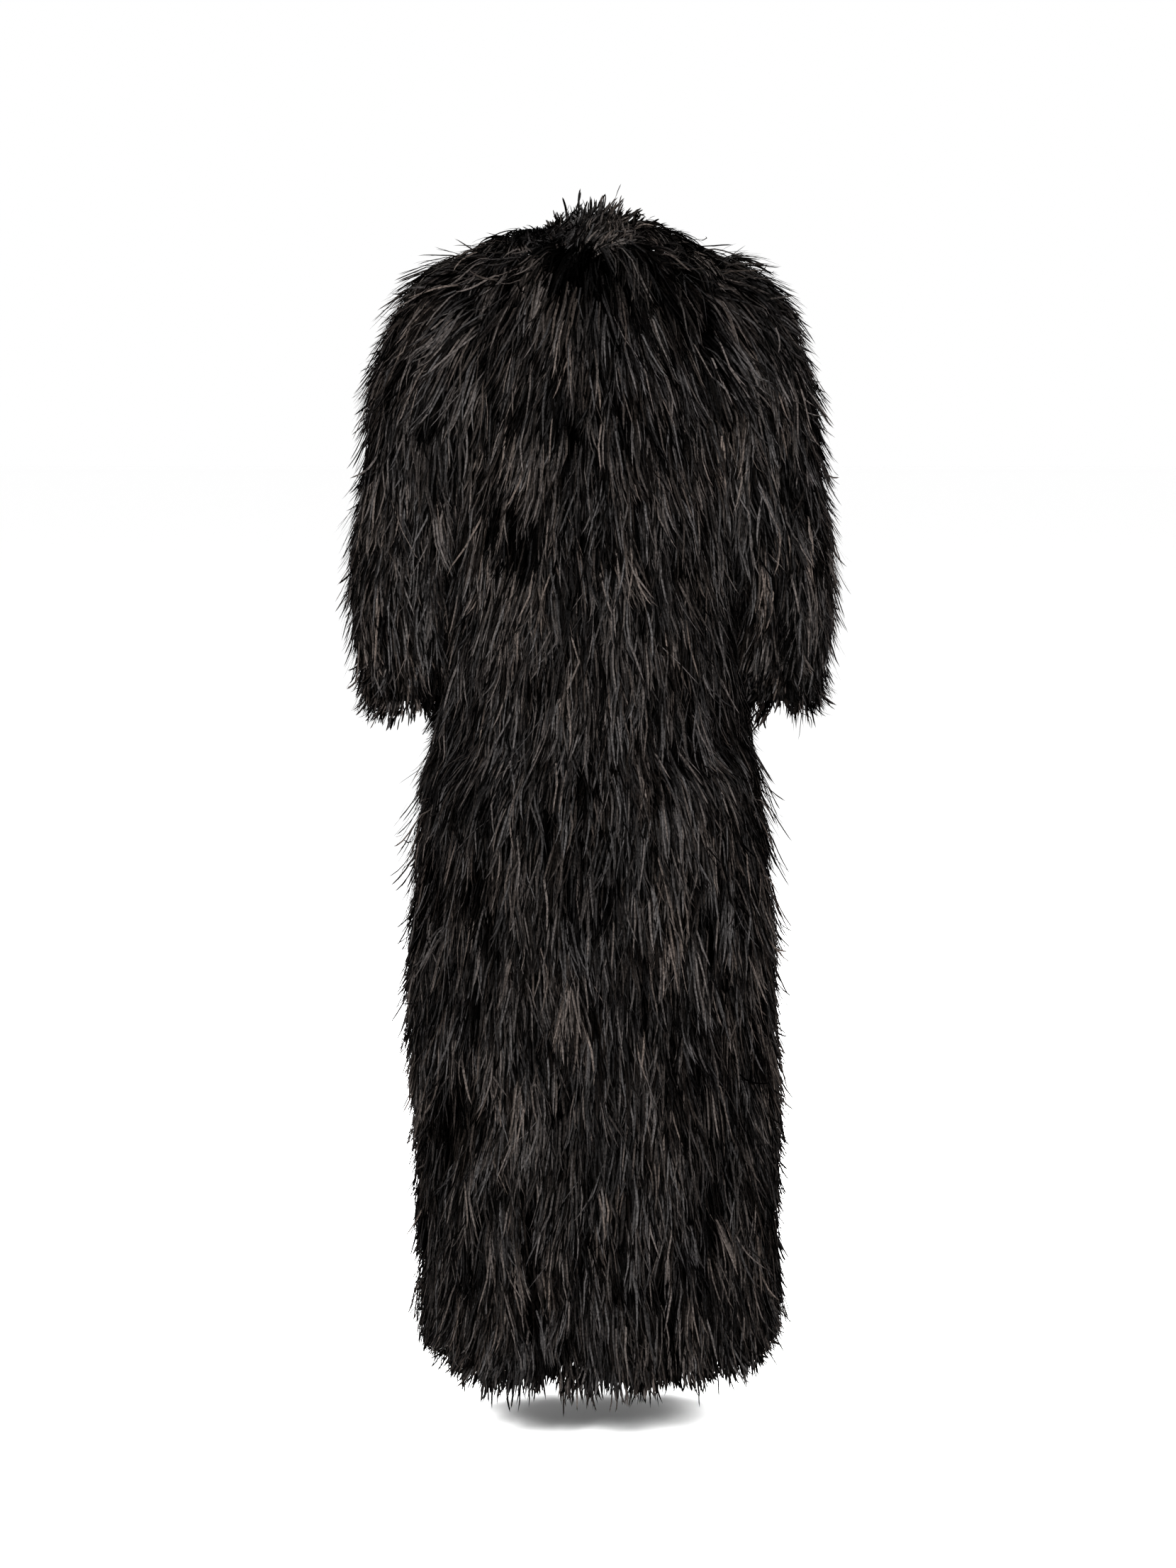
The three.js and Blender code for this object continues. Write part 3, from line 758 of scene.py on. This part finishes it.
def stretch(
    form,
    along_range,
    turn_range,
    count,
    *,
    heading=None,
    keep=None,
    proud=None,
    sway=0.05,
    lean=0.08,
    length=(80, 125),
    lowest=None,
    ragged=RAGGED,
    tuft=TUFT,
    flick=(4, 4),
    most_flick=20,
    side_flick=1.2,
    standing=None,
    bow=3,
    curl=0.2,
    lie=(5, 3),
    root=None,
    lift=0.4,
    wiry_share=WIRY_SHARE,
    rows=PLAIN_ROWS,
):
    """Tufts of fronds over one stretch of a form. Lengths and depths are in millimetres.
    heading gives a tuft's angle from straight down for its place, which sway and lean then vary:
    sway in broad waves over the coat, and lean from one tuft to the next. proud gives how much less
    deep the fronds of a place lie, and lowest the place along the form that few pass there, of which
    tufts end up to ragged short. count is about how many fronds there are in all, and tuft the fewest
    and most in a tuft. length is a tuft's least and most, lie and flick each a middle and a spread.
    side_flick is how much more the tips stand away at the sides than behind and before, and standing
    gives the share of it all that is left at a place. The rest is as in lay_fronds."""
    tufts = round(count / np.mean(tuft))
    along, turn = spread(form, along_range, turn_range, tufts)
    if keep is not None:
        kept = keep(along, turn)
        along, turn = along[kept], turn[kept]
        tufts = len(along)
    point, normal, per_along, per_turn = form.directions(along, turn)
    u, v = point[:, 0] + point[:, 1], point[:, 2]
    wide = waves(7, 0.12, 0.5)(u, v)
    patch = waves(9, 0.05, 0.2)(u, v)
    hollow = waves(14, 0.022, 0.06)(u, 0.24 * v)

    aim = random.normal(0, lean, tufts) + sway * wide
    if heading is not None:
        aim = aim + heading(along, turn)
    gap = blend_in(hollow, 0.1, 1.0)
    tuft_lie = lie[0] + lie[1] * (random.normal(0, 1, tufts) + 1.4 * gap - 0.3)
    tuft_length = random.uniform(*length, tufts)
    if lowest is not None:
        room = form.down * (lowest(turn) - along) * per_along * 1000
        room = room - ragged * random.uniform(-0.2, 1, tufts) + LUMPY * waves(8, 0.025, 0.07)(u, v)
        tuft_length = np.minimum(tuft_length, np.maximum(room, SHORTEST))
    tuft_flick = random.normal(*flick, tufts)
    # Random tone over patches and tufts, with painted shade that darkens the tufts in the gaps between
    # the locks
    tuft_tone_and_painted_shade = np.exp(PATCH_TONE * patch + random.normal(0, TUFT_TONE, tufts)) * (1 - GAP_PAINTED_SHADE * gap)
    # Painted shade: the feathers that face upwards are made darker
    tuft_tone_and_painted_shade = tuft_tone_and_painted_shade * (1 - TOP_PAINTED_SHADE * blend_in(normal[:, 2], 0.1, 0.6))
    tuft_warm = WARM + WARM_VARIES * patch + random.normal(0, WARM_VARIES, tufts)
    tuft_curl = random.normal(0, curl, tufts)
    tuft_fan = random.normal(*FAN, tufts)

    number = np.repeat(np.arange(tufts), random.integers(*tuft, tufts))
    many = len(number)
    aside = random.normal(0, 1, many)
    frond_along = along[number] + random.normal(0, TUFT_SPREAD[1], many) / per_along[number]
    frond_turn = turn[number] + aside * TUFT_SPREAD[0] / per_turn[number]
    frond_lie = np.clip(tuft_lie[number] + random.normal(0, 3.2, many), PROUDEST, DEEPEST)
    wiry = random.random(many) < wiry_share
    loose = random.random(many) < LOOSE_SHARE
    frond_flick = tuft_flick[number] + random.normal(0, 3, many)
    frond_flick = frond_flick + wiry * random.normal(4, 5, many)
    frond_flick = frond_flick + loose * random.uniform(*LOOSE_FLICK, many)
    outward = 1 + (side_flick - 1) * np.cos(turn[number]) ** 2
    if standing is not None:
        outward = outward * standing(along, turn)[number]
    frond_length = tuft_length[number] * random.uniform(SHORTER, LONGER, many)
    astray = tuft_fan[number] * aside + random.normal(0, ASTRAY, many)
    astray = astray + wiry * random.normal(0, WIRY_ASTRAY, many)
    points, normals = lay_fronds(
        form,
        frond_along,
        frond_turn,
        rows,
        heading=aim[number] + astray,
        curl=tuft_curl[number] + random.normal(0, curl, many),
        length=frond_length / 1000,
        lie=frond_lie / 1000,
        flick=np.clip(frond_flick, LEAST_FLICK, most_flick) * outward / 1000,
        lift=lift,
        bow=bow,
        root=root,
        proud=proud,
    )
    width = np.where(wiry, WIRY_WIDTH, random.uniform(*WIDTH, many)) / 1000
    tone = tuft_tone_and_painted_shade[number] * np.exp(random.normal(0, FROND_TONE, many))
    # Painted shade: the deeper a frond lies under the outside, the darker it is made
    tone = tone * np.exp(-DEPTH_PAINTED_SHADE * (frond_lie - PROUDEST) / (DEEPEST - PROUDEST))
    dark = random.random(many) < DARK_SHARE
    tone = np.where(dark, DARK_TONE * tone, np.minimum(tone, BRIGHTEST))
    warm = np.clip(tuft_warm[number] + random.normal(0, WARM_ASTRAY, many), 0, 1)
    return rows, points, normals, width, tone, warm


def feathers(name, *stretches, stands_for=()):
    """One piece of feathers. It stands for the solids of a fringe, or is sewn on a cloth."""
    made = frond_mesh(name, stretches, feather)
    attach(made, "root")
    if stands_for:
        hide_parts(*stands_for)
    return made


ARMHOLE = (-143, 81, 64)  # in the cloth: its middle's height, its half height and half depth, in mm
SLEEVE_HEAD = (-122, 115, 92)  # the same for the sleeve's outside where it meets the body
RINGS_BEYOND = 80  # the |x| from which both lie
RIDGE = (112, 62, -40)  # the shoulder's top beyond this |x| and z, as far as this |y|, is the sleeve's
SHALLOW = 3  # mm of groove that needs no feathers across it
# How far the body's feathers stand proud at the sides, to fill the space to the sleeves: height, mm
SIDE_FILL = np.array([
    (-1500, 9), (-1100, 8), (-950, 5), (-850, -2), (-770, -8), (-730, -7), (-695, 3), (-655, 20),
    (-610, 22), (-560, 14), (-225, 12), (-195, 0),
])
HEM_LOW = -1524  # the tips of the hem's feathers at the middle of the back, in mm
HEM_RISE = 38  # and how much higher they are at the sides
CUFF_LOW = 13.7  # the sleeve's row that most tips reach
CUFF_SLOPE = 0.7  # and how many rows further along the outside of the arm, and less along the inside
LOWEST_ROOTS = -1440  # of the body's own feathers, in mm
HIPS = -700  # where the two pieces of the back's feathers meet


def in_ring(points, ring):
    """Whether points on the body, in metres, lie within a ring at either side of it."""
    middle, half_height, half_depth = ring
    x, y, z = (points * 1000).T
    share = np.abs((z - middle) / half_height) ** ROUNDNESS + np.abs(y / half_depth) ** ROUNDNESS
    return (share < 1) & (np.abs(x) > RINGS_BEYOND)


def on_body(z, turn):
    """Where the body carries feathers: not inside the sleeves, nor on the shoulders' outer ends."""
    points = BODY.outside(z, turn)
    x, y, height = (points * 1000).T
    ridge = (np.abs(x) > RIDGE[0]) & (np.abs(y) < RIDGE[1]) & (height > RIDGE[2])
    return ~in_ring(points, SLEEVE_HEAD) & ~ridge


def on_sleeve(row, turn):
    """Where a sleeve carries feathers: clear of the body, and near the neck only along the top."""
    x, y, z = (SLEEVES[1].outside(row, turn) * 1000).T
    depth = np.where(y > 0, column(BODY_OUTSIDE, 2, z), column(BODY_OUTSIDE, 3, z))
    share = np.abs(x / column(BODY_OUTSIDE, 1, z)) ** ROUNDNESS + np.abs(y / depth) ** ROUNDNESS
    return ((row > 0.3) & (share > 0.8)) | (np.cos(turn) > 0.82)


def on_mantle(back):
    """Where the feathers lie across a groove: wherever it is more than a little deep."""

    def deep_enough(z, steps):
        reach = REACHES[back]
        spare = reach.sample(reach.spare, steps * ASIDE, z)
        return blend_in(z, reach.OPEN, reach.CLOSED) * spare > SHALLOW

    return deep_enough


def body_heading(z, turn):
    """Fronds fall away from the middle of the back and of the front, most near the neck."""
    return -(0.04 + 0.52 * blend_in(z, -300, -30)) * np.sin(2 * turn)


def mantle_heading(z, steps):
    """Fronds run out along the shoulder and turn down below it."""
    return 0.06 + 0.6 * blend_in(z, -230, -60)


def body_proud(z, turn):
    """Beside the sleeves the feathers fill the space to them."""
    return np.interp(z, *SIDE_FILL.T) * blend_in(np.abs(np.cos(turn)), 0.75, 0.95)


def at_side(z, turn):
    """Whether a place is near the body's outline, as seen from behind or before."""
    return np.abs(np.cos(turn)) > 0.7


def hem_line(turn):
    return HEM_LOW + HEM_RISE * np.cos(turn) ** 2


def cuff_line(turn):
    """The tips hang lowest along the outside of the arm."""
    return CUFF_LOW + CUFF_SLOPE * np.cos(turn)


def sleeve_proud(row, turn):
    """Beside the body the sleeves' feathers fill the space to it."""
    return 12 * blend_in(-np.cos(turn), 0.5, 0.8)


def body_standing(z, turn):
    """The feathers lie flatter beside the neck, here and on the sleeves' heads."""
    return 1 - 0.8 * blend_in(z, -50, -10)


def sleeve_standing(row, turn):
    return 0.15 + 0.85 * blend_in(row, 0.4, 2)


LEFT_FRONT = (-QUARTER, 0)
RIGHT_FRONT = (math.pi, 3 * QUARTER)
BACK = (0, math.pi)
SIDES = {1: "left", -1: "right"}


def collar_heading(s, turn):
    return NAPE_LEAN * np.maximum(np.sin(turn), 0) ** 1.5


studio()

ON_BODY = dict(
    heading=body_heading, keep=on_body, proud=body_proud, lowest=hem_line, standing=body_standing,
)
# Feathers that curve away from the rest
STRAY = dict(
    tuft=(1, 4), flick=(20, 8), most_flick=26, side_flick=1, bow=2, lie=(2, 3), lean=0.25, curl=0.6,
    wiry_share=0.15, rows=CURVED_ROWS,
)
SKIRT_STRAY = STRAY | dict(flick=(22, 8), most_flick=32, length=(60, 110))


def skirt_strays(turn, count):
    """Strays along the skirt's outline."""
    return stretch(
        BODY, (LOWEST_ROOTS, HIPS + 20), turn, count, heading=body_heading, keep=at_side,
        lowest=hem_line, **SKIRT_STRAY,
    )


upper = feathers("back_feathers_upper", stretch(BODY, (HIPS, NECK_Z), BACK, 26000, **ON_BODY))
lower = feathers(
    "back_feathers_lower", stretch(BODY, (LOWEST_ROOTS, HIPS), BACK, 24800, **ON_BODY),
    skirt_strays(BACK, 2000),
)
fronts = {
    part: feathers(
        f"front_feathers_{part}", stretch(BODY, (LOWEST_ROOTS, NECK_Z), turn, 14800, **ON_BODY),
        skirt_strays(turn, 1000),
    )
    for part, turn in (("left", LEFT_FRONT), ("right", RIGHT_FRONT))
}
for side, part in SIDES.items():
    whole = stretch(
        SLEEVES[side], (-0.6, CUFF_ROW - 0.6), (0, TURN), 17000, keep=on_sleeve, proud=sleeve_proud,
        lowest=cuff_line, ragged=60, standing=sleeve_standing,
    )
    across = [
        stretch(
            mantle_form(back, side), (-480, -40), (1.2, 2.3), 2700, heading=mantle_heading,
            keep=on_mantle(back), length=(85, 130), root=0.02, lie=(5, 6),
        )
        for back in (1, -1)
    ]
    astray = [
        stretch(
            SLEEVES[side], rows, (-0.9, 0.9), count, length=(55, 105), lowest=cuff_line, **STRAY,
        )
        for rows, count in (((0.2, 3.2), 300), ((3.2, CUFF_ROW - 0.6), 450))
    ]
    feathers(f"sleeve_feathers_{part}", whole, *across, *astray)
HEMS = (("back", BACK, 2600), ("left", LEFT_FRONT, 1200), ("right", RIGHT_FRONT, 1200))
hems = {
    part: feathers(
        f"hem_feathers_{part}",
        stretch(
            BODY, (HEM_Z - 4, HEM_Z + 40), turn, count, heading=body_heading, lowest=hem_line,
            length=(45, 95),
        ),
        stands_for=[f"hem_fringe_{part}"],
    )
    for part, turn, count in HEMS
}
cuffs = {
    side: feathers(
        f"cuff_feathers_{part}",
        stretch(
            SLEEVES[side], (CUFF_ROW - 1.2, CUFF_ROW + 0.1), (0, TURN), 1300, length=(30, 80),
            lowest=cuff_line, ragged=60,
        ),
        stands_for=[f"cuff_fringe_{part}"],
    )
    for side, part in SIDES.items()
}
# The collar's feathers lie on the shoulders and the chest, and stand up at the nape, where most are.
# A few more curve away from the shoulders.
LYING = dict(flick=(4, 4), most_flick=10, lie=(0, 2), root=0.003, length=(40, 75))
STANDING = dict(flick=(0, 5), most_flick=12, lie=(2, 4), root=0.012, length=(24, 45))
COLLAR = (
    ((-QUARTER, 0.8), 900, LYING),
    ((0.7, 2.4), 2700, STANDING),
    ((2.2, 3 * QUARTER), 900, LYING),
)
SHOULDERS = ((0.3, 1.25), (1.9, 2.85))
collar = feathers(
    "collar_feathers",
    *[
        stretch(
            RUFF, (-26, 16), turn, count, heading=collar_heading, lean=0.35, bow=1.5, lift=0.3,
            wiry_share=0.2, rows=CURVED_ROWS, **hang,
        )
        for turn, count, hang in COLLAR
    ],
    *[
        stretch(BODY, (-30, 12), turn, 170, heading=body_heading, length=(45, 85), **STRAY)
        for turn in SHOULDERS
    ],
    stands_for=["collar_fringe"],
)


# Cloth

net = net_material()
BODY_ROWS = np.concatenate([np.linspace(HEM_Z, -260, 55), np.linspace(-250, NECK_Z, 40)])
SLEEVE_ROWS = np.linspace(0.4, CUFF_ROW, 50)
SLEEVE_TURNS = np.linspace(0, TURN, 41)
LEVELS = ("yoke", "waist", "hip", "skirt")


def clear_of_armholes(middles):
    return ~in_ring(middles, ARMHOLE)


def cloth(name, form, along, turn, stands_for):
    keep = clear_of_armholes if form is BODY else None
    made = cloth_shell(name, form, along, turn, net, keep)
    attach(made, "root")
    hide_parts(*stands_for)


cloth(
    "back_cloth", BODY, BODY_ROWS, np.linspace(*BACK, 45), [f"back_{level}" for level in LEVELS],
)
for part, turn in (("left", LEFT_FRONT), ("right", RIGHT_FRONT)):
    cloth(
        f"front_cloth_{part}", BODY, BODY_ROWS, np.linspace(*turn, 23),
        [f"front_{part}_{level}" for level in LEVELS],
    )
for side, part in SIDES.items():
    cloth(
        f"sleeve_cloth_{part}", SLEEVES[side], SLEEVE_ROWS, SLEEVE_TURNS,
        [f"sleeve_{part}_back", f"sleeve_{part}_front"],
    )
